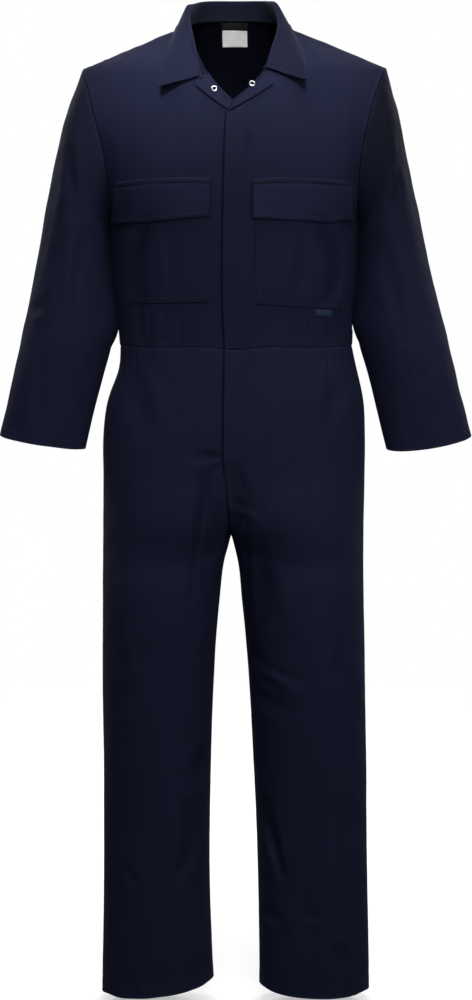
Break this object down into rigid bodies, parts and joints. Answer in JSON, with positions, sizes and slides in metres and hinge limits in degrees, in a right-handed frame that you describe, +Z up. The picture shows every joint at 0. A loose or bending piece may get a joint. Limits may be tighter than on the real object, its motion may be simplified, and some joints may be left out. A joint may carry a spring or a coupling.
{
  "type": "boiler suit",
  "caption": "Dark navy boiler suit, filled out and held at the shoulders, with long sleeves, a shirt collar, flapped chest pockets and a covered front closing.",
  "frame": {"origin": "middle of the neck at the height of the neck ends of the shoulder seams, where the wearer's shoulders hold it", "axes": "+X to the wearer's left, -Y to the front, +Z up"},
  "size_m": [0.766, 0.2582, 1.6403],
  "materials": {
    "cloth": "matt twill",
    "cloth_lower": "matt twill",
    "facing": "matt twill",
    "label": "satin",
    "strip": "matt",
    "tab": "satin",
    "stud": "polished"
  },
  "bodies": {
    "root": {"back": "cloth", "collar": "facing", "flap_left": "cloth", "flap_right": "cloth", "front_left": "cloth", "front_right": "cloth", "label_strip": "strip", "lapel_left": "facing", "lapel_right": "facing", "leg_back_left": "cloth_lower", "leg_back_right": "cloth_lower", "leg_front_left": "cloth_lower", "leg_front_right": "cloth_lower", "neck_label": "label", "placket_lower": "cloth", "placket_upper": "cloth", "pocket_left": "cloth", "pocket_right": "cloth", "pocket_tab": "tab", "sleeve_left": "cloth", "sleeve_right": "cloth", "stud_left": "stud", "stud_right": "stud", "waist_elastic": "cloth_lower"}
  },
  "joints": []
}
